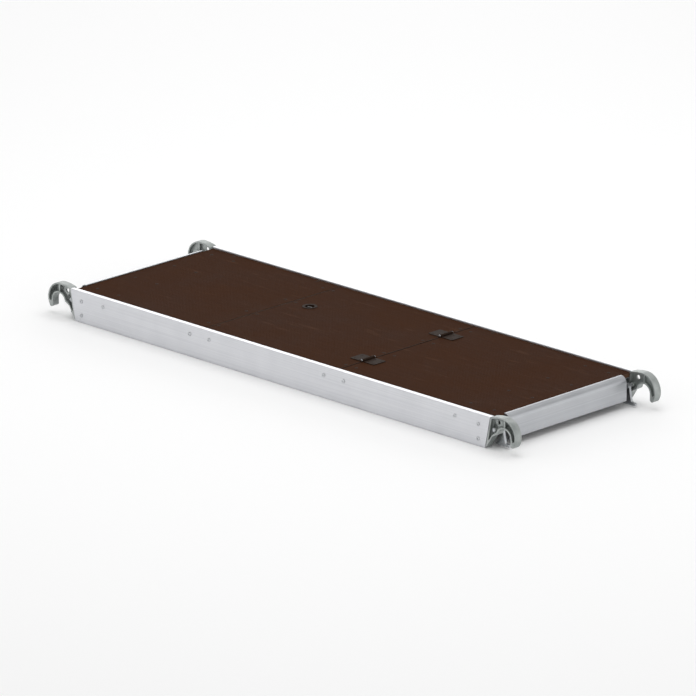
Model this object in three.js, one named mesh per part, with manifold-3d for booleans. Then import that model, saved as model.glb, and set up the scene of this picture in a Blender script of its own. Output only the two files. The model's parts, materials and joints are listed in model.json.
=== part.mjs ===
// Scaffold plank: a framed working platform with a trapdoor, hung by four claws on scaffold rungs.
// Units are millimetres. X runs along the plank, Y across it, +Z up.
// The origin is under the middle of the plank, level with the undersides of its side beams.
import * as THREE from "three";
import { mergeVertices } from "three/addons/utils/BufferGeometryUtils.js";
import Module from "manifold-3d";

const wasm = await Module();
wasm.setup();

// ---- Driving dimensions ----
const RUNG_SPAN = 1800; // between the centres of the two rungs that carry the plank
const RUNG_SEAT_R = 25.5; // claw seat, for a rung of 48 to 50 mm
const RUNG_Z = 45; // rung centre above the beams' undersides
const WIDTH = 600; // over the side beams
const BEAM_H = 95;
const WALL = 3; // side beam wall
const THIN_WALL = 2.5; // walls of the bearers and end profiles, and the lip's inner wall
const LIP_W = 17.5; // beam lip beside the deck
const LEDGE_TOP = 77.7; // what the deck lies on
const LEDGE_T = 2.7;
const LEDGE_W = 42;
const FLANGE_W = 22;
const FLANGE_UPSTAND = 8; // its inner edge, turned up
const DECK_LEN = 1690;
const DECK_TOP = 90;
const DECK_BOTTOM = 78;
const DECK_SIDE_GAP = 0.8;
const HATCH_LEFT = -310; // the two lines where the trapdoor meets the fixed deck
const HATCH_RIGHT = 235;
const HATCH_GAP = 3;
const RIVET_Z = 68;
const RIVET_R = 3;
const CLEAR = 0.3; // gap between pieces that touch
const ROUND = 16; // sides of a small cylinder

const HALF_RUNGS = RUNG_SPAN / 2;
const HALF_W = WIDTH / 2;
const BOARD_HALF_W = HALF_W - LIP_W - DECK_SIDE_GAP;
const rad = THREE.MathUtils.degToRad;

// ---- Materials ----
const material = (color, roughness, metalness) =>
  new THREE.MeshStandardMaterial({ color, roughness, metalness });
const extruded = material(0xc6c7cb, 0.42, 0.9);
const cast = material(0x8e9492, 0.6, 0.85);
const filmPly = material(0x432f24, 0.5, 0);
const zincSteel = material(0xa9abad, 0.4, 0.9);
const darkSteel = material(0x2e2b29, 0.55, 0.6);
const rivetAlloy = material(0xb9babd, 0.35, 0.9);

// ---- Geometry helpers ----
function solid(geometry) {
  const bare = geometry.clone();
  bare.deleteAttribute("normal");
  bare.deleteAttribute("uv");
  const merged = mergeVertices(bare, 1e-3);
  const vertProperties = merged.attributes.position.array;
  const triVerts = new Uint32Array(merged.index.array);
  return new wasm.Manifold(new wasm.Mesh({ numProp: 3, vertProperties, triVerts }));
}

function geometryOf(made) {
  const mesh = made.getMesh();
  const geometry = new THREE.BufferGeometry();
  geometry.setAttribute("position", new THREE.BufferAttribute(mesh.vertProperties, 3));
  geometry.setIndex(new THREE.BufferAttribute(mesh.triVerts, 1));
  geometry.computeVertexNormals();
  return geometry;
}

const join = (...geometries) => geometryOf(geometries.map(solid).reduce((a, b) => a.add(b)));
const cut = (geometry, ...tools) =>
  geometryOf(tools.map(solid).reduce((a, b) => a.subtract(b), solid(geometry)));

function polygon(points) {
  return new THREE.Shape(points.map(([x, y]) => new THREE.Vector2(x, y)));
}

// A shape drawn in X and Z, extruded along Y from y0 to y1.
function extrudeY(shape, y0, y1, curveSegments = 6) {
  const options = { depth: y1 - y0, bevelEnabled: false, curveSegments };
  return new THREE.ExtrudeGeometry(shape, options).rotateX(Math.PI / 2).translate(0, y1, 0);
}

// The same, with hollow chambers running right through it.
function hollowBar(outline, hollows, halfLength) {
  const chambers = hollows.map((shape) => extrudeY(shape, -halfLength - 1, halfLength + 1, 8));
  return cut(extrudeY(outline, -halfLength, halfLength, 8), ...chambers);
}

// A shape drawn in Y and Z, extruded along X from x0 to x1.
function extrudeX(shape, x0, x1) {
  const options = { depth: x1 - x0, bevelEnabled: false, curveSegments: 3 };
  const made = new THREE.ExtrudeGeometry(shape, options);
  return made.rotateX(Math.PI / 2).rotateZ(Math.PI / 2).translate(x0, 0, 0);
}

function block(x0, x1, y0, y1, z0, z1) {
  const box = new THREE.BoxGeometry(x1 - x0, y1 - y0, z1 - z0);
  return box.translate((x0 + x1) / 2, (y0 + y1) / 2, (z0 + z1) / 2);
}

function rodY(x, z, r, y0, y1, sides = ROUND) {
  return new THREE.CylinderGeometry(r, r, y1 - y0, sides).translate(x, (y0 + y1) / 2, z);
}

function rodZ(x, y, r, z0, z1, sides = ROUND) {
  const rod = new THREE.CylinderGeometry(r, r, z1 - z0, sides).rotateX(Math.PI / 2);
  return rod.translate(x, y, (z0 + z1) / 2);
}

// A profile of [radius, height] points turned about the Z axis at (x, y).
function turned(profile, x, y, sides) {
  const points = profile.map(([r, h]) => new THREE.Vector2(r, h));
  return new THREE.LatheGeometry(points, sides).rotateX(Math.PI / 2).translate(x, y, 0);
}

function named(name, geometry, look, parent) {
  const mesh = new THREE.Mesh(geometry, look);
  mesh.name = name;
  parent.add(mesh);
}

const SIDES = [["left", -1], ["right", 1]];
const EDGES = [["front", -1], ["rear", 1]];

const plank = new THREE.Group();

// ---- Side beams: a C section with a hollow lip beside the deck and a ledge under it ----
const BEARER_RIVETS_X = [-712, -349.5, -270.5, 195.5, 274.5, 712];
const CLAW_RIVET_X = 803;
const CLAW_RIVETS_Z = [65, 22];
const END_CUT_BOTTOM = 829.2; // the beam's end is cut on a slant
const END_CUT_TOP = 848.4;
const EDGE_R = 2; // rounding of the beam's outer corners

function beamSection() {
  const out = HALF_W;
  const lipIn = out - LIP_W;
  const wallIn = out - WALL;
  const section = new THREE.Shape();
  section.moveTo(out - EDGE_R, 0);
  section.absarc(out - EDGE_R, EDGE_R, EDGE_R, rad(-90), 0, false);
  section.absarc(out - EDGE_R, BEAM_H - EDGE_R, EDGE_R, 0, rad(90), false);
  section.absarc(lipIn + EDGE_R, BEAM_H - EDGE_R, EDGE_R, rad(90), rad(180), false);
  section.lineTo(lipIn, LEDGE_TOP);
  section.lineTo(out - LEDGE_W, LEDGE_TOP);
  section.lineTo(out - LEDGE_W, LEDGE_TOP - LEDGE_T);
  section.lineTo(wallIn, LEDGE_TOP - LEDGE_T);
  section.lineTo(wallIn, WALL);
  section.lineTo(out - FLANGE_W + WALL, WALL);
  section.lineTo(out - FLANGE_W + WALL, FLANGE_UPSTAND);
  section.lineTo(out - FLANGE_W, FLANGE_UPSTAND);
  section.lineTo(out - FLANGE_W, 0);
  return section;
}

function lipHollow() {
  const inner = HALF_W - LIP_W + THIN_WALL;
  const outer = HALF_W - WALL;
  const top = BEAM_H - WALL;
  return polygon([[inner, LEDGE_TOP], [outer, LEDGE_TOP], [outer, top], [inner, top]]);
}

function sideBeam() {
  const long = DECK_LEN / 2 + 20;
  const bar = extrudeX(beamSection(), -long, long);
  const hollow = extrudeX(lipHollow(), -long - 1, long + 1);
  const endCut = polygon([
    [END_CUT_BOTTOM, 0],
    [END_CUT_TOP, BEAM_H],
    [END_CUT_TOP + 1, BEAM_H + 5],
    [long + 5, BEAM_H + 5],
    [long + 5, -5],
    [END_CUT_BOTTOM - 1, -5],
  ]);
  const rightEnd = extrudeY(endCut, HALF_W - LEDGE_W - 5, HALF_W + 5);
  const leftEnd = rightEnd.clone().rotateZ(Math.PI).translate(0, 2 * HALF_W - LEDGE_W, 0);
  const hole = (x, z) => rodY(x, z, RIVET_R + CLEAR, HALF_W - WALL - 2, HALF_W + 2);
  const holes = BEARER_RIVETS_X.map((x) => hole(x, RIVET_Z));
  for (const z of CLAW_RIVETS_Z) holes.push(hole(CLAW_RIVET_X, z), hole(-CLAW_RIVET_X, z));
  return cut(bar, hollow, rightEnd, leftEnd, ...holes);
}

const beam = sideBeam();
for (const [edge, sy] of EDGES) {
  const row = new THREE.Group();
  row.scale.y = sy;
  named(`side_beam_${edge}`, beam, extruded, row);
  plank.add(row);
}

// ---- Cross bearers under the deck, notched at both ends for the beams' ledges ----
const BEARER_HALF_LEN = HALF_W - WALL - 0.5;
const NOTCH_IN = HALF_W - LEDGE_W - CLEAR;
const NOTCH_UNDER = LEDGE_TOP - LEDGE_T - CLEAR;

function notched(bar, x0, x1) {
  const notch = (y0, y1) => block(x0 - 1, x1 + 1, y0, y1, NOTCH_UNDER, LEDGE_TOP + 1);
  return cut(bar, notch(NOTCH_IN, HALF_W), notch(-HALF_W, -NOTCH_IN));
}

function narrowBearer() {
  const half = 15;
  const low = 43;
  const t = THIN_WALL;
  const section = polygon([[-half, low], [half, low], [half, LEDGE_TOP], [-half, LEDGE_TOP]]);
  const hollow = [
    [t - half, low + t],
    [half - t, low + t],
    [half - t, LEDGE_TOP - t],
    [t - half, LEDGE_TOP - t],
  ];
  return notched(hollowBar(section, [polygon(hollow)], BEARER_HALF_LEN), -half, half);
}

// The wide bearer carries the ends of two boards: a plate on two hollow legs.
function wideBearer() {
  const half = 55;
  const low = 46;
  const legAt = 39.5;
  const legHalf = 7;
  const legWall = 2;
  const under = LEDGE_TOP - THIN_WALL;
  const section = polygon([
    [-half, LEDGE_TOP],
    [-half, under],
    [-legAt - legHalf, under],
    [-legAt - legHalf, low],
    [legHalf - legAt, low],
    [legHalf - legAt, under],
    [legAt - legHalf, under],
    [legAt - legHalf, low],
    [legAt + legHalf, low],
    [legAt + legHalf, under],
    [half, under],
    [half, LEDGE_TOP],
  ]);
  const hollows = [-legAt, legAt].map((x) =>
    polygon([
      [x - legHalf + legWall, low + legWall],
      [x + legHalf - legWall, low + legWall],
      [x + legHalf - legWall, under],
      [x - legHalf + legWall, under],
    ]),
  );
  return notched(hollowBar(section, hollows, BEARER_HALF_LEN), -half, half);
}

const narrow = narrowBearer();
const wide = wideBearer();
const bearers = [
  ["cross_bearer_left", narrow, -712],
  ["cross_bearer_hatch_left", wide, HATCH_LEFT],
  ["cross_bearer_hatch_right", wide, HATCH_RIGHT],
  ["cross_bearer_right", narrow, 712],
];
for (const [name, shape, x] of bearers) {
  const place = new THREE.Group();
  place.position.x = x;
  named(name, shape, extruded, place);
  plank.add(place);
}

// ---- End profiles: a hollow bearer with a rounded nosing that closes the deck's end ----
const END_BAR_HALF_LEN = 287.6;
const NOSE_HALF_LEN = 240; // the nosing stops short of the claws and their lift-off latches

function endProfile() {
  const ledgeIn = 785; // where the deck's end starts to rest on the bar
  const barIn = 790;
  const barOut = 817;
  const barLow = 45;
  const noseOut = 868;
  const noseLow = 20;
  const noseTop = 93;
  const t = THIN_WALL;
  const skin = 3; // wall of the nosing
  const deckStop = DECK_LEN / 2 + 0.6;
  const under = LEDGE_TOP - t;
  const section = new THREE.Shape();
  section.moveTo(ledgeIn, LEDGE_TOP);
  section.lineTo(deckStop, LEDGE_TOP);
  section.lineTo(deckStop, noseTop - 2);
  section.quadraticCurveTo(deckStop, noseTop, deckStop + 3, noseTop);
  section.quadraticCurveTo(noseOut, noseTop - 2, noseOut, 62);
  section.lineTo(noseOut, noseLow);
  section.lineTo(noseOut - 10, noseLow); // the lower edge is turned in
  section.lineTo(noseOut - 10, noseLow + skin);
  section.lineTo(noseOut - skin, noseLow + skin);
  section.lineTo(noseOut - skin, barLow);
  section.lineTo(barIn, barLow);
  section.lineTo(barIn, under);
  section.lineTo(ledgeIn, under);
  const box = polygon([
    [barIn + t, barLow + t],
    [barOut - 1 - t, barLow + t],
    [barOut - 1 - t, under],
    [barIn + t, under],
  ]);
  const chamber = new THREE.Shape();
  chamber.moveTo(barOut - 1, barLow + t);
  chamber.lineTo(noseOut - skin, barLow + t);
  chamber.lineTo(noseOut - skin, 62);
  chamber.quadraticCurveTo(noseOut - skin, 88, deckStop + 4, noseTop - skin);
  chamber.lineTo(deckStop + skin, noseTop - skin - 1);
  chamber.lineTo(deckStop + skin, under);
  chamber.lineTo(barOut - 1, under);
  const bar = hollowBar(section, [box, chamber], END_BAR_HALF_LEN);
  const corner = (y0, y1) => block(barOut, noseOut + 5, y0, y1, 0, 100);
  const corners = [corner(NOSE_HALF_LEN, 300), corner(-300, -NOSE_HALF_LEN)];
  return notched(cut(bar, ...corners), 780, 830);
}

const endBar = endProfile();
for (const [side, sx] of SIDES) {
  const end = new THREE.Group();
  end.scale.x = sx;
  named(`end_profile_${side}`, endBar, extruded, end);
  plank.add(end);
}

// ---- Deck boards ----
const deckHalf = DECK_LEN / 2;
const board = (x0, x1) => block(x0, x1, -BOARD_HALF_W, BOARD_HALF_W, DECK_BOTTOM, DECK_TOP);
named("deck_board_left", board(-deckHalf, HATCH_LEFT - HATCH_GAP / 2), filmPly, plank);
named("deck_board_right", board(HATCH_RIGHT + HATCH_GAP / 2, deckHalf), filmPly, plank);

// ---- Trapdoor: a board with a dark-coated angle let into each end ----
const hatchX0 = HATCH_LEFT + HATCH_GAP / 2;
const hatchX1 = HATCH_RIGHT - HATCH_GAP / 2;
const ANGLE_T = 2;
const ANGLE_LEG = 25;
const LATCH_X = -237;
const LATCH_Y = 79;
const CUP_R = 16;

function hatchBoard() {
  const inset = ANGLE_T + CLEAR;
  const full = board(hatchX0 + inset, hatchX1 - inset);
  const wideCut = BOARD_HALF_W + 1;
  const floor = DECK_BOTTOM + ANGLE_T + CLEAR;
  const rebate = (x0, x1) => block(x0, x1, -wideCut, wideCut, DECK_BOTTOM - 1, floor);
  const leftRebate = rebate(hatchX0, hatchX0 + ANGLE_LEG + CLEAR);
  const rightRebate = rebate(hatchX1 - ANGLE_LEG - CLEAR, hatchX1);
  const cupHole = rodZ(LATCH_X, LATCH_Y, CUP_R + 0.6, DECK_BOTTOM - 1, DECK_TOP + 1, 24);
  return cut(full, leftRebate, rightRebate, cupHole);
}

named("hatch_board", hatchBoard(), filmPly, plank);

function edgeAngle(x0, toward) {
  const section = polygon([
    [x0, DECK_TOP],
    [x0, DECK_BOTTOM],
    [x0 + toward * ANGLE_LEG, DECK_BOTTOM],
    [x0 + toward * ANGLE_LEG, DECK_BOTTOM + ANGLE_T],
    [x0 + toward * ANGLE_T, DECK_BOTTOM + ANGLE_T],
    [x0 + toward * ANGLE_T, DECK_TOP],
  ]);
  return extrudeY(section, -BOARD_HALF_W, BOARD_HALF_W);
}

named("hatch_edge_left", edgeAngle(hatchX0, 1), darkSteel, plank);
named("hatch_edge_right", edgeAngle(hatchX1, -1), darkSteel, plank);

// ---- Trapdoor hinges, on top of the deck ----
const HINGE_Y = 160;
const HINGE_AXIS_Z = 94.6;
const HINGE_HALF = 25; // half the barrel's length
const BARREL_R = 4.2;
const HINGE_PIN_R = 2.1;
const LEAF_T = 2;
const LEAF_REACH = 48;
const MIDDLE_KNUCKLE = 8.5;

// One leaf around the hinge axis, reaching along +X; spans are its knuckles' stretches along Y.
function hingeLeaf(spans) {
  const low = DECK_TOP + CLEAR - HINGE_AXIS_Z;
  const top = low + LEAF_T;
  const plate = new THREE.Shape();
  plate.moveTo(6, low);
  plate.lineTo(LEAF_REACH, low);
  plate.lineTo(LEAF_REACH, top - 1);
  plate.lineTo(LEAF_REACH - 1, top);
  plate.lineTo(6, top);
  const pieces = [extrudeY(plate, -HINGE_HALF, HINGE_HALF)];
  for (const [y0, y1] of spans) {
    pieces.push(rodY(0, 0, BARREL_R, y0, y1));
    pieces.push(block(0, 8, y0, y1, low, top));
  }
  const bore = rodY(0, 0, HINGE_PIN_R + CLEAR, -HINGE_HALF - 1, HINGE_HALF + 1);
  return cut(join(...pieces), bore);
}

function hingePin() {
  const pin = rodY(0, 0, HINGE_PIN_R, -HINGE_HALF - 1, HINGE_HALF + 1);
  const head = (y0, y1) => rodY(0, 0, 3.6, y0, y1);
  const near = head(-HINGE_HALF - 1.8, -HINGE_HALF - CLEAR);
  const far = head(HINGE_HALF + CLEAR, HINGE_HALF + 1.8);
  return join(pin, near, far);
}

const fixedLeaf = hingeLeaf([
  [-HINGE_HALF, -MIDDLE_KNUCKLE - 0.5],
  [MIDDLE_KNUCKLE + 0.5, HINGE_HALF],
]);
const movingLeaf = hingeLeaf([[-MIDDLE_KNUCKLE, MIDDLE_KNUCKLE]]).rotateZ(Math.PI);
// turned half round, the moving leaf reaches along -X over the trapdoor
const pinShape = hingePin();
for (const [edge, sy] of EDGES) {
  const hinge = new THREE.Group();
  hinge.position.set(HATCH_RIGHT, sy * HINGE_Y, HINGE_AXIS_Z);
  named(`hinge_fixed_leaf_${edge}`, fixedLeaf, darkSteel, hinge);
  named(`hinge_moving_leaf_${edge}`, movingLeaf, darkSteel, hinge);
  named(`hinge_pin_${edge}`, pinShape, zincSteel, hinge);
  plank.add(hinge);
}

// ---- Trapdoor turn latch: recessed cup, spindle with a grip bar, tongue and nut ----
const SPINDLE_R = 4;
const CUP_FLOOR = 76;
const TONGUE_TOP = 74.5;
const TONGUE_T = 4;
const TONGUE_REACH = 24;

const cupProfile = [
  [SPINDLE_R + 0.5, CUP_FLOOR],
  [CUP_R, CUP_FLOOR],
  [CUP_R, DECK_TOP + CLEAR],
  [23, DECK_TOP + CLEAR],
  [23, DECK_TOP + 0.9],
  [22, DECK_TOP + 1.8],
  [15, DECK_TOP + 1.8],
  [14, DECK_TOP + 0.8],
  [14, CUP_FLOOR + 3],
  [SPINDLE_R + 0.5, CUP_FLOOR + 3],
  [SPINDLE_R + 0.5, CUP_FLOOR],
];

function gripSpindle() {
  const bar = new THREE.Shape();
  bar.moveTo(-12.5, CUP_FLOOR + 3.5);
  bar.lineTo(12.5, CUP_FLOOR + 3.5);
  bar.lineTo(12.5, DECK_TOP - 4);
  bar.quadraticCurveTo(12.5, DECK_TOP, 8, DECK_TOP);
  bar.lineTo(-8, DECK_TOP);
  bar.quadraticCurveTo(-12.5, DECK_TOP, -12.5, DECK_TOP - 4);
  const grip = extrudeY(bar, -2.5, 2.5).translate(LATCH_X, LATCH_Y, 0);
  return join(grip, rodZ(LATCH_X, LATCH_Y, SPINDLE_R, 62, CUP_FLOOR + 5));
}

function latchTongue() {
  const half = 7;
  const plan = new THREE.Shape();
  plan.absarc(0, 0, 8.5, rad(-40), rad(220), false);
  plan.lineTo(-half, half - TONGUE_REACH);
  plan.absarc(0, half - TONGUE_REACH, half, rad(180), rad(360), false);
  const options = { depth: TONGUE_T, bevelEnabled: false, curveSegments: 10 };
  const plate = new THREE.ExtrudeGeometry(plan, options);
  plate.translate(LATCH_X, LATCH_Y, TONGUE_TOP - TONGUE_T);
  return cut(plate, rodZ(LATCH_X, LATCH_Y, SPINDLE_R + CLEAR, 60, 80));
}

named("latch_cup", turned(cupProfile, LATCH_X, LATCH_Y, 24), darkSteel, plank);
named("latch_grip_spindle", gripSpindle(), zincSteel, plank);
named("latch_tongue", latchTongue(), zincSteel, plank);
const nutTop = TONGUE_TOP - TONGUE_T - CLEAR;
const nut = rodZ(LATCH_X, LATCH_Y, 7.5, nutTop - 5, nutTop, 6);
const nutBore = rodZ(LATCH_X, LATCH_Y, SPINDLE_R + CLEAR, 60, 80);
named("latch_nut", cut(nut, nutBore), zincSteel, plank);

// ---- Claws: castings that hook over the rungs, each with a tongue riveted inside a side beam ----
// Drawn around the rung's centre, with +X outwards.
const CLAW_IN = 274; // the claw's two faces across the plank
const CLAW_OUT = 299;
const WEB_IN = 283.5;
const WEB_OUT = 289.5;
const PIVOT_X = -45; // lift-off latch pivot
const PIVOT_Z = 12;
const PIN_R = 4;

function clawOutline() {
  const tip = new THREE.Vector2(32.5, -16);
  const shape = new THREE.Shape();
  shape.moveTo(RUNG_SEAT_R, tip.y);
  shape.lineTo(RUNG_SEAT_R, 0);
  shape.absarc(0, 0, RUNG_SEAT_R, 0, rad(84), false);
  shape.absarc(0, 0, RUNG_SEAT_R, rad(96), rad(170), false); // leaves a flat land at the crown
  shape.lineTo(-44, -6);
  shape.lineTo(-67, -43);
  shape.lineTo(-69.8, -43);
  shape.lineTo(-51, 50);
  shape.quadraticCurveTo(-30, 57, -6, 57);
  shape.absarc(-6, 5, 52, rad(90), rad(-15), true);
  shape.quadraticCurveTo(42.5, -13, 39.5, tip.y);
  shape.absarc(tip.x, tip.y, 7, 0, rad(-180), true);
  return shape;
}

function clawPocket() {
  const shape = new THREE.Shape();
  shape.absarc(0, 0, RUNG_SEAT_R + 5, rad(4), rad(158), false);
  shape.lineTo(-46, 0);
  shape.lineTo(-56.5, -17);
  shape.lineTo(-60, -17);
  shape.lineTo(-47.5, 45);
  shape.quadraticCurveTo(-28, 52, -6, 52);
  shape.absarc(-6, 5, 47, rad(90), rad(-6), true);
  shape.quadraticCurveTo(37, -8, 32, -5);
  return shape;
}

function claw() {
  const body = extrudeY(clawOutline(), CLAW_IN, CLAW_OUT, 6);
  const innerPocket = extrudeY(clawPocket(), CLAW_IN - 1, WEB_IN, 4);
  const outerPocket = extrudeY(clawPocket(), WEB_OUT, CLAW_OUT + 1, 4);
  const window = rodY(-28, 37, 6.5, CLAW_IN, CLAW_OUT, 14);
  const shell = cut(body, innerPocket, outerPocket, window);
  const boss = rodY(PIVOT_X, PIVOT_Z, 7.5, CLAW_IN, WEB_OUT + 2);
  const gusset = block(-3, 3, WEB_IN - 7, WEB_OUT + 7, 27, 54);
  const tongueSide = polygon([
    [-130, -31],
    [-122, -39],
    [-66, -39],
    [-56, 27],
    [-124, 27],
    [-130, 21],
  ]);
  const tongue = extrudeY(tongueSide, 288.7, 296.7);
  const whole = join(shell, boss, gusset, tongue);
  const bores = CLAW_RIVETS_Z.map((z) =>
    rodY(CLAW_RIVET_X - HALF_RUNGS, z - RUNG_Z, RIVET_R + CLEAR, 280, 300),
  );
  bores.push(rodY(PIVOT_X, PIVOT_Z, PIN_R + CLEAR, CLAW_IN - 5, CLAW_OUT));
  return cut(whole, ...bores);
}

// ---- Lift-off latches: a sprung lever beside each claw, with its nose under the rung ----
const LEVER_IN = 255;
const LEVER_OUT = 263;

function latchLever() {
  const side = new THREE.Shape();
  side.moveTo(PIVOT_X + 9, PIVOT_Z + 1);
  side.quadraticCurveTo(-33, -14, -28, -31);
  side.lineTo(-19, -32);
  side.absarc(-17.5, -36.5, 4.5, rad(95), rad(-90), true);
  side.lineTo(-50, -41);
  side.absarc(-60, -37, 4, rad(-90), rad(-240), true);
  side.quadraticCurveTo(-46, -30, -46, -18);
  side.lineTo(PIVOT_X - 8, PIVOT_Z - 4);
  side.absarc(PIVOT_X, PIVOT_Z, 9, rad(206), rad(6), true);
  const plate = extrudeY(side, LEVER_IN, LEVER_OUT, 8);
  return cut(plate, rodY(PIVOT_X, PIVOT_Z, PIN_R + CLEAR, LEVER_IN - 1, LEVER_OUT + 1));
}

function latchPin() {
  const shank = rodY(PIVOT_X, PIVOT_Z, PIN_R, LEVER_IN - 2, WEB_OUT + 3);
  const head = rodY(PIVOT_X, PIVOT_Z, 7, LEVER_IN - 3, LEVER_IN - CLEAR);
  const tail = rodY(PIVOT_X, PIVOT_Z, 6, WEB_OUT + 2 + CLEAR, WEB_OUT + 4);
  return join(shank, head, tail);
}

function latchSpring() {
  const coilR = 6.2;
  const wireR = 0.8;
  const turns = 2.75;
  const pitch = 2.4;
  const perTurn = 8;
  const start = LEVER_OUT + wireR + CLEAR;
  const points = [];
  const steps = Math.round(turns * perTurn);
  for (let i = 0; i <= steps; i++) {
    const angle = (2 * Math.PI * i) / perTurn;
    const y = start + (pitch * i) / perTurn;
    points.push(new THREE.Vector3(coilR * Math.cos(angle), y, coilR * Math.sin(angle)));
  }
  points.unshift(new THREE.Vector3(coilR, start, -14));
  points.push(new THREE.Vector3(14, start + pitch * turns, -coilR));
  const wire = new THREE.Shape().absarc(0, 0, wireR, 0, 2 * Math.PI, false);
  const extrudePath = new THREE.CatmullRomCurve3(points, false, "centripetal");
  const options = { steps: steps + 8, curveSegments: 3, extrudePath, bevelEnabled: false };
  return new THREE.ExtrudeGeometry(wire, options).translate(PIVOT_X, 0, PIVOT_Z);
}

// ---- Rivets: a domed head outside the beam and a blind bulb inside ----
function rivet(depth) {
  const profile = [
    [0, -depth],
    [RIVET_R + 1.2, -depth + 1],
    [RIVET_R + 1.2, -depth + 4],
    [RIVET_R, -depth + 4.6],
    [RIVET_R, CLEAR],
    [6, CLEAR],
    [5.6, 1.5],
    [3.6, 2.6],
    [0, 3],
  ];
  const points = profile.map(([r, h]) => new THREE.Vector2(r, h));
  return new THREE.LatheGeometry(points, 12).translate(0, HALF_W, 0);
}

const shapes = {
  claw: [claw(), cast],
  lift_latch: [latchLever(), zincSteel],
  latch_pin: [latchPin(), zincSteel],
  latch_spring: [latchSpring(), zincSteel],
};
const clawRivet = rivet(17);
const bearerRivet = rivet(13);

for (const [edge, sy] of EDGES) {
  for (const [side, sx] of SIDES) {
    const corner = new THREE.Group();
    corner.scale.set(sx, sy, 1);
    const hook = new THREE.Group();
    hook.position.set(HALF_RUNGS, 0, RUNG_Z);
    for (const [kind, [shape, look]] of Object.entries(shapes))
      named(`${kind}_${side}_${edge}`, shape, look, hook);
    corner.add(hook);
    CLAW_RIVETS_Z.forEach((z, i) => {
      const level = i === 0 ? "upper" : "lower";
      const place = clawRivet.clone().translate(CLAW_RIVET_X, 0, z);
      named(`claw_rivet_${level}_${side}_${edge}`, place, rivetAlloy, corner);
    });
    plank.add(corner);
  }
  const row = new THREE.Group();
  row.scale.y = sy;
  BEARER_RIVETS_X.forEach((x, i) => {
    const place = bearerRivet.clone().translate(x, 0, RIVET_Z);
    named(`bearer_rivet_${i + 1}_${edge}`, place, rivetAlloy, row);
  });
  plank.add(row);
}

export default plank;
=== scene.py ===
import json
import math

import bmesh
import bpy
from mathutils import Matrix, Vector


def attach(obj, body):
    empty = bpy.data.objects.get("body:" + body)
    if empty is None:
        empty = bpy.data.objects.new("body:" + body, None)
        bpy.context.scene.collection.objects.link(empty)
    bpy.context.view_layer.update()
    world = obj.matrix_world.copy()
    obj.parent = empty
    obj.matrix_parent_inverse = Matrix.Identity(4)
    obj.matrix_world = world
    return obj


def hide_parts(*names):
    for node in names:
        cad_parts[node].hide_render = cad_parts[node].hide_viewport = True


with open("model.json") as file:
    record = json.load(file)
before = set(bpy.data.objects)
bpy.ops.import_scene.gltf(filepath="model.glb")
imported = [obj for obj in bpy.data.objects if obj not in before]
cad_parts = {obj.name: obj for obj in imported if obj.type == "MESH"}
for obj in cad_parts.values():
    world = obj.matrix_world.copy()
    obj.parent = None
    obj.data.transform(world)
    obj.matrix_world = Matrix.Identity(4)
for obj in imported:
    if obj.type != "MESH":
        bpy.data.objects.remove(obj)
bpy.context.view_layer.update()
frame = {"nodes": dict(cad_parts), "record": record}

MM = 0.001
scene = bpy.context.scene

# ---- What the frame says about each node ----
slot_of = {row["node"]: row["material_slot"] for row in frame["record"]["subparts"]}
body_of = {}
for body_name, members in frame["record"]["behaviour"]["bodies"].items():
    for member in members:
        body_of[member] = body_name


# ---- Camera: a long lens, three-quarter view from the right-hand front corner ----
def look_from(place, target, focal_length):
    data = bpy.data.cameras.new("studio_camera")
    data.lens = focal_length
    data.sensor_width = 36
    data.clip_end = 200
    camera = bpy.data.objects.new("studio_camera", data)
    camera.location = place
    camera.rotation_euler = (Vector(target) - Vector(place)).to_track_quat("-Z", "Y").to_euler()
    scene.collection.objects.link(camera)
    scene.camera = camera


look_from((15.198, -15.407, 7.04), (-0.003, 0.0, 0.035), 408)


# ---- Studio: pale floor, bright soft surroundings, three large soft lights ----
def srgb(hex_colour):
    levels = [int(hex_colour[i : i + 2], 16) / 255 for i in (1, 3, 5)]
    linear = [v / 12.92 if v <= 0.04045 else ((v + 0.055) / 1.055) ** 2.4 for v in levels]
    return (*linear, 1.0)


def add(tree, kind, inputs=None, **settings):
    """Adds a shader node, sets it, and sets or links its inputs."""
    made = tree.nodes.new("ShaderNode" + kind)
    for name, value in settings.items():
        setattr(made, name, value)
    for socket, value in (inputs or {}).items():
        if isinstance(value, bpy.types.NodeSocket):
            tree.links.new(value, made.inputs[socket])
        else:
            made.inputs[socket].default_value = value
    return made


def finish_material(name, build):
    """A material whose Principled shader is set up by build(tree, shader)."""
    material = bpy.data.materials.new(name)
    material.use_nodes = True
    tree = material.node_tree
    tree.nodes.clear()
    shader = add(tree, "BsdfPrincipled")
    add(tree, "OutputMaterial", {"Surface": shader.outputs["BSDF"]})
    build(tree, shader)
    return material


def ramp(tree, value, stops):
    """A colour ramp of (position, colour) stops."""
    made = add(tree, "ValToRGB", {"Fac": value})
    elements = made.color_ramp.elements
    for element, (position, colour) in zip(elements, stops):
        element.position, element.color = position, colour
    for position, colour in stops[2:]:
        elements.new(position).color = colour
    return made.outputs["Color"]


def grey(level):
    return (level, level, level, 1.0)


def noise(tree, place, scale, detail):
    """A noise pattern; a higher scale is a finer grain."""
    made = add(tree, "TexNoise", {"Vector": place, "Scale": scale, "Detail": detail})
    return made.outputs["Fac"]


def blended(tree, share, first, second):
    """Mixes two patterns, with the given share of the second."""
    return add(tree, "Mix", {0: share, 2: first, 3: second}, data_type="FLOAT").outputs[0]


def bands(pitch):
    """The wave pattern's scale for bands that far apart, in millimetres."""
    return math.pi / 10 / (pitch * MM)


def press(tree, shader, height, strength, depth):
    """Presses a pattern into a finish, depth in millimetres."""
    made = add(tree, "Bump", {"Height": height, "Strength": strength, "Distance": depth * MM})
    tree.links.new(made.outputs["Normal"], shader.inputs["Normal"])


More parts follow.
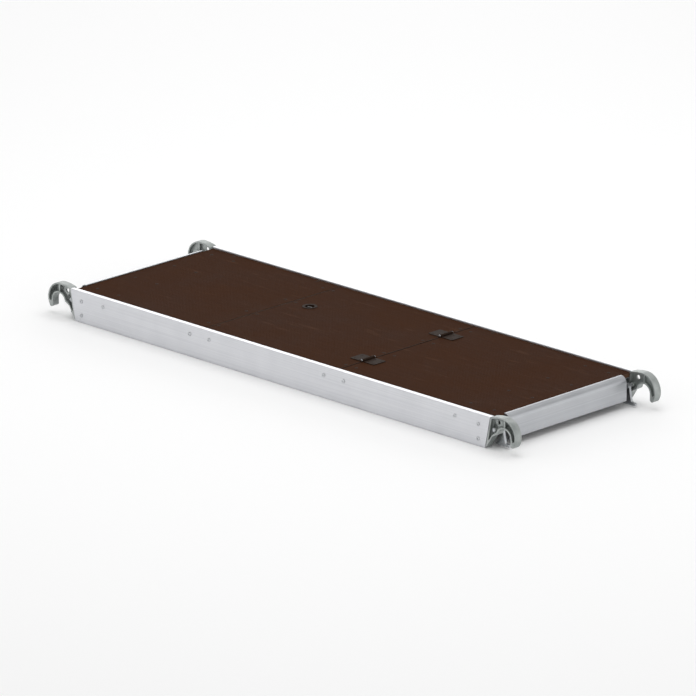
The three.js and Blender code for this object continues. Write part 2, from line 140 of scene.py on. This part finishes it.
def surface(tree, shader, colour, sheen):
    """Gives a finish its patterns of colour and roughness."""
    tree.links.new(colour, shader.inputs["Base Color"])
    tree.links.new(sheen, shader.inputs["Roughness"])


def studio():
    floor_mesh = bpy.data.meshes.new("studio_floor")
    shape = bmesh.new()
    bmesh.ops.create_grid(shape, x_segments=1, y_segments=1, size=60)
    bmesh.ops.translate(shape, verts=shape.verts, vec=(0, 0, -0.5 * MM))
    shape.to_mesh(floor_mesh)
    shape.free()
    floor = bpy.data.objects.new("studio_floor", floor_mesh)
    scene.collection.objects.link(floor)

    def matt_white(tree, shader):
        shader.inputs["Base Color"].default_value = srgb("#fafafa")
        shader.inputs["Roughness"].default_value = 0.9
        shader.inputs["Specular IOR Level"].default_value = 0.1

    floor_mesh.materials.append(finish_material("matt white studio floor", matt_white))

    world = bpy.data.worlds.new("studio_surroundings")
    world.use_nodes = True
    tree = world.node_tree
    tree.nodes.clear()
    place = add(tree, "TexCoord")
    axes = add(tree, "SeparateXYZ", {"Vector": place.outputs["Generated"]})
    height = add(tree, "MapRange", {"Value": axes.outputs["Z"], "From Min": -0.2, "From Max": 1.0})
    # bright round the horizon, dim half way up, brighter again overhead
    levels = [(0.0, grey(0.75)), (1.0, grey(0.75)), (0.42, grey(0.95)), (0.68, grey(0.32))]
    sky = ramp(tree, height.outputs["Result"], levels)
    background = add(tree, "Background", {"Color": sky, "Strength": 1.25})
    add(tree, "OutputWorld", {"Surface": background.outputs["Background"]})
    scene.world = world

    for name, place, size, power in (
        ("overhead_softbox", (0.0, 0.5, 5.0), 5.0, 95),
        ("right_softbox", (6.0, -1.5, 2.6), 3.0, 8),
        ("rear_softbox", (-5.6, 5.6, 2.6), 4.0, 60),
    ):
        data = bpy.data.lights.new(name, "AREA")
        data.shape = "SQUARE"
        data.size = size
        data.energy = power
        light = bpy.data.objects.new(name, data)
        light.location = place
        light.rotation_euler = (-Vector(place)).to_track_quat("-Z", "Y").to_euler()
        scene.collection.objects.link(light)


studio()
scene.view_settings.view_transform = "Standard"


# ---- Finishes ----
def mill_finish(along, dark, light):
    """Extruded aluminium straight from the press: fine die lines along the profile, soft sheen."""

    def build(tree, shader):
        place = add(tree, "TexCoord").outputs["Object"]
        stretch = [1 / (3 * MM)] * 3  # die lines about 3 mm apart, drawn out along the profile
        stretch["XYZ".index(along)] = 1.2
        drawn = add(tree, "Mapping", {"Vector": place, "Scale": stretch}).outputs["Vector"]
        lines = noise(tree, drawn, 1.0, 3.0)
        mixed = blended(tree, 0.35, lines, noise(tree, place, 14.0, 4.0))
        colour = ramp(tree, mixed, [(0.35, srgb(dark)), (0.65, srgb(light))])
        sheen = ramp(tree, mixed, [(0.3, grey(0.30)), (0.7, grey(0.42))])
        surface(tree, shader, colour, sheen)
        shader.inputs["Metallic"].default_value = 1.0
        press(tree, shader, lines, 0.12, 0.1)

    return build


def die_cast(tree, shader):
    """Pressure die-cast aluminium, tumbled: grey, slightly grainy, duller than the profiles."""
    place = add(tree, "TexCoord").outputs["Object"]
    grain = noise(tree, place, 1 / (2.5 * MM), 4.0)
    cloud = noise(tree, place, 40.0, 3.0)
    colour = ramp(tree, cloud, [(0.35, srgb("#979c9a")), (0.7, srgb("#b0b4b2"))])
    sheen = ramp(tree, grain, [(0.3, grey(0.42)), (0.7, grey(0.6))])
    surface(tree, shader, colour, sheen)
    shader.inputs["Metallic"].default_value = 0.9
    press(tree, shader, grain, 0.35, 0.3)


def mesh_imprint(tree, place):
    """The wire mesh pressed into walked film: wires 6 mm apart each way, a little coarse."""
    waves = []
    for axis in "XY":
        wave = add(tree, "TexWave", {"Vector": place, "Scale": bands(6)}, bands_direction=axis)
        waves.append(wave.outputs["Fac"])
    return add(tree, "Math", {0: waves[0], 1: waves[1]}, operation="MAXIMUM").outputs["Value"]


def walked(tree, place, film, imprint):
    """Film with the tops of its mesh dulled by shoes, and short faint scuffs."""
    turn = (0, 0, 0.5)
    slant = add(tree, "Mapping", {"Vector": place, "Rotation": turn, "Scale": (9, 45, 9)})
    scuffs = noise(tree, slant.outputs["Vector"], 1.0, 6.0)
    worn = ramp(tree, scuffs, [(0.6, grey(0.0)), (0.74, grey(0.2))])
    tops = ramp(tree, imprint, [(0.6, grey(0.0)), (1.0, grey(0.14))])
    rubbed = add(tree, "Math", {0: worn, 1: tops}, operation="ADD").outputs["Value"]
    layers = {0: rubbed, 6: film, 7: srgb("#5a4030")}
    return add(tree, "Mix", layers, data_type="RGBA").outputs[2]


def phenolic_film(meshed):
    """Dark brown phenolic film on birch plywood; the walked side has a mesh pressed into it."""

    def build(tree, shader):
        place = add(tree, "TexCoord").outputs["Object"]
        cloud = noise(tree, place, 5.0, 5.0)
        # the birch's grain shows faintly through the film, 11 mm wide and 170 mm long
        drawn = add(tree, "Mapping", {"Vector": place, "Scale": (6.0, 90.0, 90.0)})
        grain = noise(tree, drawn.outputs["Vector"], 1.0, 4.0)
        mixed = blended(tree, 0.4, cloud, grain)
        film = ramp(tree, mixed, [(0.35, srgb("#352015")), (0.65, srgb("#3c2518"))])
        sheen = ramp(tree, cloud, [(0.3, grey(0.5)), (0.7, grey(0.64))])
        height, depth = grain, 0.1
        if meshed:
            height, depth = mesh_imprint(tree, place), 0.5
            film = walked(tree, place, film, height)
        surface(tree, shader, film, sheen)
        shader.inputs["Specular IOR Level"].default_value = 0.004
        press(tree, shader, height, 0.8, depth)

    return build


def sealed_edge(tree, shader):
    """Birch plywood's cut edge under thin brown sealer: 1.4 mm veneers still show as stripes."""
    place = add(tree, "TexCoord").outputs["Object"]
    wave = {"Vector": place, "Scale": bands(2.8), "Distortion": 0.6, "Detail": 2.0}
    veneers = add(tree, "TexWave", wave, bands_direction="Z").outputs["Fac"]
    colour = ramp(tree, veneers, [(0.35, srgb("#3a281d")), (0.65, srgb("#6b4a31"))])
    tree.links.new(colour, shader.inputs["Base Color"])
    shader.inputs["Roughness"].default_value = 0.6
    press(tree, shader, veneers, 0.3, 0.2)


def plated(dark, light, rough_low, rough_high):
    """Plated or bright steel: even colour with a faint cloudy bloom in the shine."""

    def build(tree, shader):
        place = add(tree, "TexCoord").outputs["Object"]
        bloom = noise(tree, place, 1 / (6 * MM), 3.0)
        colour = ramp(tree, bloom, [(0.35, srgb(dark)), (0.65, srgb(light))])
        sheen = ramp(tree, bloom, [(0.3, grey(rough_low)), (0.7, grey(rough_high))])
        surface(tree, shader, colour, sheen)
        shader.inputs["Metallic"].default_value = 1.0

    return build


def powder_coat(tree, shader):
    """Near-black powder coat with a fine orange-peel texture."""
    place = add(tree, "TexCoord").outputs["Object"]
    peel = noise(tree, place, 1 / (1.5 * MM), 2.0)
    colour = ramp(tree, peel, [(0.3, srgb("#271d17")), (0.7, srgb("#32261f"))])
    tree.links.new(colour, shader.inputs["Base Color"])
    shader.inputs["Roughness"].default_value = 0.55
    shader.inputs["Specular IOR Level"].default_value = 0.03
    press(tree, shader, peel, 0.25, 0.15)


profile_lengthways = finish_material(
    "mill-finish aluminium, drawn lengthways", mill_finish("X", "#cbccd0", "#d8d9dc")
)
# painted shade: the crossways copy is the same aluminium coloured darker, so the end profiles and
# bearers read greyer, as they do in the deck's shade
shaded_crossways_aluminium = finish_material(
    "mill-finish aluminium, drawn crossways", mill_finish("Y", "#b2b4b8", "#bfc1c4")
)
claw_metal = finish_material("die-cast aluminium", die_cast)
deck_film = finish_material("phenolic film with mesh imprint", phenolic_film(True))
under_film = finish_material("smooth phenolic film", phenolic_film(False))
board_edge = finish_material("sealed birch plywood edge", sealed_edge)
zinc = finish_material("zinc-plated steel", plated("#a2a5a8", "#bfc2c4", 0.28, 0.42))
black_zinc = finish_material("black-passivated zinc", plated("#2d2c2b", "#403f3d", 0.35, 0.5))
spring_wire = finish_material("bright spring wire", plated("#8f9294", "#a9acae", 0.2, 0.32))
rivet_metal = finish_material("drawn rivet aluminium", plated("#b4b6b9", "#cfd1d3", 0.25, 0.38))
coated = finish_material("dark powder coat", powder_coat)

FINISH = {
    "extruded_aluminium": shaded_crossways_aluminium,
    "cast_aluminium": claw_metal,
    "film_faced_plywood": deck_film,
    "zinc_plated_steel": zinc,
    "spring_steel": spring_wire,
    "dark_coated_steel": coated,
    "rivet_aluminium": rivet_metal,
}


# ---- Making pieces ----
BROAD = 6  # mm across


def piece(name, shape, finishes, body, slot, *stands_for):
    """Makes a finished bmesh an object that rides on a body and may stand for CAD nodes."""
    # broad faces are dead flat, narrow ones belong to a curve or a rounding
    for face in shape.faces:
        face.smooth = 2 * face.calc_area() < BROAD * MM * face.calc_perimeter()
    mesh = bpy.data.meshes.new(name)
    shape.to_mesh(mesh)
    shape.free()
    for finish in finishes:
        mesh.materials.append(finish)
    mesh.set_sharp_from_angle(angle=math.radians(35))
    made = bpy.data.objects.new(name, mesh)
    scene.collection.objects.link(made)
    flat_faces = made.modifiers.new("flat faces stay flat", "WEIGHTED_NORMAL")
    flat_faces.weight = 100
    flat_faces.keep_sharp = True
    if stands_for:
        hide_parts(*stands_for)
    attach(made, body)


def for_node(node, shape, *finishes):
    """Makes a bmesh the visible piece for one CAD node."""
    finishes = finishes or [FINISH[slot_of[node]]]
    piece("fine_" + node, shape, finishes, body_of[node], slot_of[node], node)


def eased(shape, radius, segments=2):
    """Rounds a closed shape's sharp edges and fillets its sharp corners, in millimetres."""
    bmesh.ops.dissolve_limit(
        shape, angle_limit=math.radians(0.5), verts=shape.verts, edges=shape.edges
    )
    sharp = [edge for edge in shape.edges if edge.calc_face_angle(0) > math.radians(30)]
    bmesh.ops.bevel(
        shape,
        geom=sharp,
        offset=radius * MM,
        segments=segments,
        profile=0.5,
        affect="EDGES",
        clamp_overlap=True,
        material=-1,
    )
    return shape


def merged_copy(node):
    """A CAD node's mesh with its loose triangles merged into clean faces."""
    shape = bmesh.new()
    shape.from_mesh(frame["nodes"][node].data)
    bmesh.ops.remove_doubles(shape, verts=shape.verts, dist=0.003 * MM)
    return shape


def only(kind, items):
    return [item for item in items if isinstance(item, kind)]


def pen_line(shape, pen, place):
    """Draws one straight edge on from a vertex."""
    end = bmesh.ops.extrude_vert_indiv(shape, verts=[pen])["verts"][0]
    end.co = [v * MM for v in place]
    return end


def pen_arc(shape, pen, x, y, degrees):
    """Sweeps an arc on from a vertex about a centre, anticlockwise when positive."""
    swept = bmesh.ops.spin(
        shape,
        geom=[pen],
        cent=(x * MM, y * MM, 0),
        axis=(0, 0, 1),
        angle=math.radians(degrees),
        steps=max(2, round(abs(degrees) / 7.5)),
    )
    return only(bmesh.types.BMVert, swept["geom_last"])[-1]


def outline(shape, start, moves):
    """Draws a closed outline in X and Y, in millimetres, and returns its edges.

    A move is (x, y) for a line, (x, y, r) for a line to a corner rounded with radius r,
    or ("arc", x, y, degrees).
    """
    drawn = set(shape.edges)
    first = pen = shape.verts.new((start[0] * MM, start[1] * MM, 0))
    corners = []
    for move in moves:
        if move[0] == "arc":
            pen = pen_arc(shape, pen, *move[1:])
        else:
            pen = pen_line(shape, pen, (move[0], move[1], 0))
            if len(move) == 3:
                corners.append((pen, move[2]))
    if (pen.co - first.co).length < 0.05 * MM:
        bmesh.ops.weld_verts(shape, targetmap={pen: first})
    else:
        shape.edges.new((pen, first))
    edges = [edge for edge in shape.edges if edge not in drawn]
    face = bmesh.ops.contextual_create(shape, geom=edges)["faces"][0]
    for corner, radius in corners:
        ways = [edge.other_vert(corner).co - corner.co for edge in corner.link_edges]
        bmesh.ops.bevel(
            shape,
            geom=[corner],
            offset=radius * MM / math.tan(ways[0].angle(ways[1]) / 2),
            segments=5,
            profile=0.5,
            affect="VERTICES",
            material=-1,
        )
    bmesh.ops.delete(shape, geom=[list(shape.faces)[-1]], context="FACES_ONLY")
    return [edge for edge in shape.edges if edge not in drawn]


def ring(shape, x, y, radius):
    """Draws a circle in X and Y, in millimetres, and returns its edges."""
    drawn = set(shape.edges)
    made = bmesh.ops.create_circle(shape, segments=32, radius=radius * MM)
    bmesh.ops.translate(shape, verts=made["verts"], vec=(x * MM, y * MM, 0))
    return [edge for edge in shape.edges if edge not in drawn]


def filled(shape, *loops):
    """Fills the space between closed outlines."""
    edges = [edge for loop in loops for edge in loop]
    made = bmesh.ops.triangle_fill(shape, use_beauty=True, edges=edges)
    return only(bmesh.types.BMFace, made["geom"])


def raised(shape, faces, height):
    """Extrudes faces along Z and returns the faces at the far end."""
    made = bmesh.ops.extrude_face_region(shape, geom=faces)["geom"]
    bmesh.ops.translate(shape, verts=only(bmesh.types.BMVert, made), vec=(0, 0, height * MM))
    return only(bmesh.types.BMFace, made)


def plate(start, moves, low, high, rounding=0.0, holes=()):
    """A flat plate drawn in X and Y from low to high in Z; holes are (x, y, radius)."""
    shape = bmesh.new()
    loops = [outline(shape, start, moves)] + [ring(shape, *hole) for hole in holes]
    raised(shape, filled(shape, *loops), high - low)
    bmesh.ops.translate(shape, verts=shape.verts, vec=(0, 0, low * MM))
    bmesh.ops.recalc_face_normals(shape, faces=shape.faces)
    return eased(shape, rounding) if rounding else shape


def turned(profile, steps=32):
    """A turned part: (radius, height) points in millimetres spun about Z."""
    shape = bmesh.new()
    radius, height = profile[0]
    pen = shape.verts.new((radius * MM, 0, height * MM))
    for radius, height in profile[1:]:
        pen = pen_line(shape, pen, (radius, 0, height))
    bmesh.ops.spin(
        shape,
        geom=shape.verts[:] + shape.edges[:],
        cent=(0, 0, 0),
        axis=(0, 0, 1),
        angle=math.tau,
        steps=steps,
        use_merge=True,
    )
    bmesh.ops.remove_doubles(shape, verts=shape.verts, dist=0.002 * MM)
    bmesh.ops.recalc_face_normals(shape, faces=shape.faces)
    return shape


def rod(radius, low, high, chamfer=0.5):
    """A plain pin about Z with chamfered ends."""
    inner = radius - chamfer
    low_end = [(0, low), (inner, low), (radius, low + chamfer)]
    high_end = [(radius, high - chamfer), (inner, high), (0, high)]
    return turned(low_end + high_end)


def together(*shapes):
    """Puts several closed shapes into one."""
    whole = shapes[0]
    for shape in shapes[1:]:
        loose = bpy.data.meshes.new("part")
        shape.to_mesh(loose)
        shape.free()
        whole.from_mesh(loose)
        bpy.data.meshes.remove(loose)
    return whole


def placed(shape, matrix):
    """Moves a shape; a mirrored one gets its faces turned outwards again."""
    bmesh.ops.transform(shape, verts=shape.verts, matrix=matrix)
    if matrix.determinant() < 0:
        bmesh.ops.reverse_faces(shape, faces=shape.faces)
    return shape


def shifted(x, y, z):
    return Matrix.Translation((x * MM, y * MM, z * MM))


# Drawn in X and Y, then stood up: what was drawn along Y becomes Z, and Z becomes Y.
UPRIGHT = Matrix(((1, 0, 0, 0), (0, 0, 1, 0), (0, 1, 0, 0), (0, 0, 0, 1)))
EDGES = (("front", -1), ("rear", 1))
CORNERS = [(side, sx, edge, sy) for edge, sy in EDGES for side, sx in (("left", -1), ("right", 1))]
HALF_WIDTH = 300
DECK_TOP = 90


def at_corner(shape, sx, sy, x, z):
    """Stands up a shape drawn for the right rear corner and puts it at one of the corners."""
    return placed(shape, Matrix.Diagonal((sx, sy, 1, 1)) @ shifted(x, 0, z) @ UPRIGHT)


# ---- Extruded profiles: the frame's own shapes with their die-rounded edges ----
for edge, _ in EDGES:
    for_node(f"side_beam_{edge}", eased(merged_copy(f"side_beam_{edge}"), 0.4), profile_lengthways)
for node in (
    "cross_bearer_left",
    "cross_bearer_hatch_left",
    "cross_bearer_hatch_right",
    "cross_bearer_right",
):
    for_node(node, eased(merged_copy(node), 0.4), shaded_crossways_aluminium)
for node in ("hatch_edge_left", "hatch_edge_right"):
    for_node(node, eased(merged_copy(node), 0.4), coated)


NOSING_HALF, BAR_HALF = 240, 287.6


def end_profile():
    """A hollow bar under the deck's end with a round-topped nosing, drawn for the right."""
    shape = bmesh.new()
    section = outline(
        shape,
        (785, 77.7),
        [
            (845.6, 77.7),
            (845.6, 93, 1.2),
            (847, 93),
            ("arc", 847, 72, -90),
            (868, 20, 0.6),
            (858, 20, 0.6),
            (858, 23),
            (865, 23, 1),
            (865, 45, 1),
            (790, 45, 0.6),
            (790, 75.2),
            (785, 75.2),
        ],
    )
    box = outline(shape, (792.5, 47.5), [(813.5, 47.5), (813.5, 75.2), (792.5, 75.2)])
    chamber = outline(
        shape,
        (816, 47.5),
        [(865, 47.5, 1), (865, 72), ("arc", 847, 72, 84.9), (848.6, 75.2), (816, 75.2)],
    )
    raised(shape, filled(shape, section, box, chamber), 2 * NOSING_HALF)
    bmesh.ops.translate(shape, verts=shape.verts, vec=(0, 0, -NOSING_HALF * MM))
    bmesh.ops.recalc_face_normals(shape, faces=shape.faces)
    ends = [
        plate((790, 45), [(816, 45), (816, 74.4), (790, 74.4)], low, high, rounding=0.4)
        for low, high in ((NOSING_HALF, BAR_HALF), (-BAR_HALF, -NOSING_HALF))
    ]
    return placed(together(eased(shape, 0.3), *ends), UPRIGHT)


for side, sx in (("left", -1), ("right", 1)):
    shape = placed(end_profile(), Matrix.Diagonal((sx, 1, 1, 1)))
    for_node(f"end_profile_{side}", shape, shaded_crossways_aluminium)

# ---- Plywood: meshed film above, smooth film below, sealed edges ----
for node in ("deck_board_left", "deck_board_right", "hatch_board"):
    board = eased(merged_copy(node), 0.5)
    for face in board.faces:
        face.material_index = 0 if face.normal.z > 0.9 else 1 if face.normal.z < -0.9 else 2
    for_node(node, board, deck_film, under_film, board_edge)


# ---- Deck fixings: countersunk blind rivets, flush with the film ----
def countersunk_rivet():
    profile = [(0, -2.6), (1.4, -2.6), (4.9, -0.1), (4.9, 0.12), (4.5, 0.25), (1.7, 0.3)]
    return turned(profile + [(1.5, -0.5), (0, -0.6)], steps=24)


def fixings(name, body, places):
    whole = bmesh.new()
    for x, y in places:
        whole = together(whole, placed(countersunk_rivet(), shifted(x, y, DECK_TOP)))
    piece(name, whole, [coated], body, "dark_coated_steel")


LEDGE_ROW = 271  # from the middle to the rows over the side beams' ledges
ACROSS = (-235, -80, 80, 235)
for end, stations in (("left", (-745, -560, -395)), ("right", (315, 470, 620, 745))):
    places = [(x, y) for x in stations for y in (-LEDGE_ROW, LEDGE_ROW)]
    fixings(f"ledge_rivets_{end}", "frame", places)
for name, body, x in (
    ("end_rivets_left", "frame", -803),
    ("bearer_rivets_left", "frame", -712),
    ("hatch_bearer_rivets_left", "frame", -338),
    ("trapdoor_rivets_left", "hatch", -295),
    ("trapdoor_rivets_right", "hatch", 220),
    ("hatch_bearer_rivets_right", "frame", 262),
    ("bearer_rivets_right", "frame", 712),
    ("end_rivets_right", "frame", 803),
):
    fixings(name, body, [(x, y) for y in ACROSS])

# ---- Trapdoor hinges: pressed leaves with rolled knuckles, riveted to the boards ----
HINGE = (235, 160, 94.6)
LEAF_REACH = 48
LEAF_HALF = 25
LEAF_LOW, LEAF_TOP = -4.3, -2.3
KNUCKLES = {
    "fixed": [(-LEAF_HALF, -9), (9, LEAF_HALF)],
    "moving": [(-8.5, 8.5)],
}


def hinge_leaf(spans):
    """A leaf that reaches along X from a pin along Y."""
    corners = [(LEAF_REACH, -LEAF_HALF, 4), (LEAF_REACH, LEAF_HALF, 4), (6, LEAF_HALF)]
    parts = [plate((6, -LEAF_HALF), corners, LEAF_LOW, LEAF_TOP, rounding=0.5)]
    for low, high in spans:
        parts.append(placed(rod(4.2, low, high, chamfer=0.4), UPRIGHT))
        parts.append(plate((0, low), [(8, low), (8, high), (0, high)], LEAF_LOW, LEAF_TOP))
    for x in (17, 38):
        for y in (-15, 15):
            parts.append(placed(countersunk_rivet(), shifted(x, y, LEAF_TOP)))
    return together(*parts)


hinge_pin = [(0, -26.8), (2.6, -26.8), (3.6, -26.2), (3.6, -25.3), (2.1, -25.3)]
hinge_pin += [(radius, -height) for radius, height in reversed(hinge_pin)]
for edge, sy in EDGES:
    here = shifted(HINGE[0], sy * HINGE[1], HINGE[2])
    fixed = placed(hinge_leaf(KNUCKLES["fixed"]), here)
    moving = placed(hinge_leaf(KNUCKLES["moving"]), here @ Matrix.Diagonal((-1, 1, 1, 1)))
    for_node(f"hinge_fixed_leaf_{edge}", fixed)
    for_node(f"hinge_moving_leaf_{edge}", moving)
    for_node(f"hinge_pin_{edge}", placed(turned(hinge_pin, steps=24), here @ UPRIGHT))

# ---- Trapdoor latch: pressed cup, grip bar on a spindle, tongue and nut ----
LATCH = shifted(-237, 79, 0)
cup = [(4.5, 76), (15, 76), (16, 77), (16, 90.3), (23, 90.3), (23, 90.8), (22.6, 91.4)]
cup += [(21.8, 91.8), (15.4, 91.8), (14.5, 91.5), (14, 90.8), (14, 80.5), (13.6, 79.4)]
cup += [(12.6, 79), (4.5, 79), (4.5, 76)]
for_node("latch_cup", placed(turned(cup, steps=48), LATCH))

grip = plate(
    (-12.4, 79.6),
    [(12.4, 79.6), (12.4, 89.9, 4), (-12.4, 89.9, 4)],
    -2.5,
    2.5,
    rounding=1.1,
)
turning = together(placed(grip, UPRIGHT), rod(4, 62, 81, chamfer=0.7))
for_node("latch_grip_spindle", placed(turning, LATCH), black_zinc)

tongue = plate(
    (6.51, -5.46),
    [("arc", 0, 0, 260), (-7, -17), ("arc", 0, -17, 180)],
    70.5,
    74.5,
    rounding=0.6,
    holes=[(0, 0, 4.2)],
)
for_node("latch_tongue", placed(tongue, LATCH))

NUT_R = 7.5 * MM  # to its corners
nut = bmesh.new()
bmesh.ops.create_cone(
    nut, cap_ends=True, segments=6, radius1=NUT_R, radius2=NUT_R, depth=5 * MM
)
for_node("latch_nut", placed(eased(nut, 0.6), LATCH @ shifted(0, 0, 67.7)))

# ---- Claws: die castings with a thin web inside a rounded rim ----
RUNG = (900, 45)  # X and Z of the rung's centre, which the claws are drawn around
SEAT_R = 25.5
CROWN = [SEAT_R * math.cos(math.radians(96)), SEAT_R * math.sin(math.radians(96))]
RIM_IN, WEB_IN, WEB_OUT, RIM_OUT = 274, 283.5, 289.5, 299
PIVOT = (-45, 12)  # the lift-off lever's pin, from the rung's centre


def claw_casting():
    shape = bmesh.new()
    rim = outline(
        shape,
        (SEAT_R, -16),
        [
            (SEAT_R, 0),
            ("arc", 0, 0, 84),
            CROWN,
            ("arc", 0, 0, 74),
            (-44, -6, 6),
            (-67, -42.5, 1.2),
            (-69.6, -42.5),
            (-51, 50, 4),
            (-44.5, 51.8),
            ("arc", -6, -91.1, -15.07),
            ("arc", -6, 5, -105),
            (38.56, -19.5),
            ("arc", 32.5, -16, -150),
        ],
    )
    pocket = outline(
        shape,
        (30.43, 2.13),
        [
            ("arc", 0, 0, 154),
            (-45.5, -1.5, 3),
            (-56.5, -18, 2),
            (-59.6, -18, 1),
            (-47.3, 45.5, 3),
            (-41.5, 47.6),
            ("arc", -6, -91.1, -14.35),
            ("arc", -6, 5, -98),
            (33, -6.5, 2),
        ],
    )
    shell = filled(shape, rim, pocket)
    web = filled(shape, pocket, ring(shape, -28, 37, 6.5))
    for face in shell:
        face.material_index = 1  # a mark, so that the rim can be found again once it is raised
    far = raised(shape, shell + web, WEB_OUT - WEB_IN)
    raised(shape, [face for face in far if face.material_index], RIM_OUT - WEB_OUT)
    raised(shape, shell, RIM_IN - WEB_IN)
    for face in shape.faces:
        face.material_index = 0
    bmesh.ops.translate(shape, verts=shape.verts, vec=(0, 0, WEB_IN * MM))
    bmesh.ops.recalc_face_normals(shape, faces=shape.faces)
    return eased(shape, 1.2, segments=3)


def claw():
    boss = placed(rod(7.5, RIM_IN, WEB_OUT + 2, chamfer=1), shifted(*PIVOT, 0))
    gusset = plate((-3, 27), [(3, 27), (3, 54), (-3, 54)], WEB_IN - 7, WEB_OUT + 7, rounding=1)
    tongue = plate(
        (-130, -31),
        [(-122, -39), (-66, -39), (-56, 27), (-124, 27), (-130, 21)],
        288.7,
        296.7,
        rounding=1,
    )
    return together(claw_casting(), boss, gusset, tongue)


# ---- Lift-off latches: a lever beside each claw, its pin and its spring ----
def latch_lever():
    moves = [
        (-34, -6, 24),
        (-28, -31, 5),
        (-19, -32, 2),
        ("arc", -17.5, -36.5, -160),
        (-50, -40.9, 2),
        (-60.5, -40.9, 3.5),
        (-62.5, -33.5, 3),
        (-48, -26, 10),
        (-46, -18, 4),
        (-53.09, 8.05),
        ("arc", *PIVOT, -200),
    ]
    return plate((-36.05, 12.94), moves, 255, 263, rounding=1.2)


LEVER_PIN = [(0, 252), (4.6, 252), (6.4, 252.5), (7, 253.2), (7, 254.7), (4, 254.7), (4, 291.8)]
LEVER_PIN += [(6, 291.8), (6, 292.6), (5, 293.3), (0, 293.5)]


def latch_spring():
    """2.75 turns of 1.6 mm wire about Z with a straight leg at each end."""
    coil_r, wire_r, turns, pitch, start = 6.2, 0.8, 2.75, 2.4, 264.1
    per_turn = 24
    shape = bmesh.new()
    section = bmesh.ops.create_circle(shape, cap_ends=True, segments=10, radius=wire_r * MM)
    level = Matrix.Rotation(math.radians(90), 4, "X")
    bmesh.ops.transform(shape, verts=section["verts"], matrix=shifted(coil_r, -14, start) @ level)

    def leg(edges, x, y):
        made = bmesh.ops.extrude_edge_only(shape, edges=edges)["geom"]
        bmesh.ops.translate(shape, verts=only(bmesh.types.BMVert, made), vec=(x * MM, y * MM, 0))
        return only(bmesh.types.BMEdge, made)

    wire_end = leg(shape.edges[:], 0, 14)
    wire_end = [edge for edge in wire_end if all(abs(vert.co.y) < 0.1 * MM for vert in edge.verts)]
    swept = bmesh.ops.spin(
        shape,
        geom=wire_end,
        cent=(0, 0, 0),
        axis=(0, 0, 1),
        dvec=(0, 0, pitch / per_turn * MM),
        angle=math.tau * turns,
        steps=round(turns * per_turn),
    )
    last = leg(only(bmesh.types.BMEdge, swept["geom_last"]), 14, 0)
    last = [edge for edge in last if all(vert.co.x > 13 * MM for vert in edge.verts)]
    bmesh.ops.contextual_create(shape, geom=last)
    bmesh.ops.recalc_face_normals(shape, faces=shape.faces)
    return placed(shape, shifted(*PIVOT, 0))


# ---- Blind rivets in the side beams: domed head, hole where the mandrel broke, bulb inside ----
CLAW_RIVET_X, CLAW_RIVET_DEPTH = 803, 17
BEARER_RIVETS_X = (-712, -349.5, -270.5, 195.5, 274.5, 712)
BEARER_RIVET_Z, BEARER_RIVET_DEPTH = 68, 13


def blind_rivet(depth):
    bulb = [(0, -depth), (4.2, 1 - depth), (4.2, 4 - depth), (3, 4.6 - depth), (3, 0.3)]
    dome = [(6, 0.3), (6, 0.9), (5.5, 1.6), (4.5, 2.3), (3.2, 2.8), (2, 3)]
    dimple = [(1.7, 2.8), (1.5, 1.5), (0, 1.4)]
    return turned(bulb + dome + dimple, steps=28)


def beam_rivet(x, z, depth, sx, sy):
    upright = shifted(x, HALF_WIDTH, z) @ UPRIGHT
    return placed(blind_rivet(depth), Matrix.Diagonal((sx, sy, 1, 1)) @ upright)


for side, sx, edge, sy in CORNERS:
    corner = f"{side}_{edge}"
    for_node(f"claw_{corner}", at_corner(claw(), sx, sy, *RUNG))
    for_node(f"lift_latch_{corner}", at_corner(latch_lever(), sx, sy, *RUNG))
    for_node(f"latch_spring_{corner}", at_corner(latch_spring(), sx, sy, *RUNG))
    pin = placed(turned(LEVER_PIN), shifted(*PIVOT, 0))
    for_node(f"latch_pin_{corner}", at_corner(pin, sx, sy, *RUNG))
    for level, z in (("upper", 65), ("lower", 22)):
        rivet = beam_rivet(CLAW_RIVET_X, z, CLAW_RIVET_DEPTH, sx, sy)
        for_node(f"claw_rivet_{level}_{corner}", rivet)
for edge, sy in EDGES:
    for number, x in enumerate(BEARER_RIVETS_X, start=1):
        rivet = beam_rivet(x, BEARER_RIVET_Z, BEARER_RIVET_DEPTH, 1, sy)
        for_node(f"bearer_rivet_{number}_{edge}", rivet)
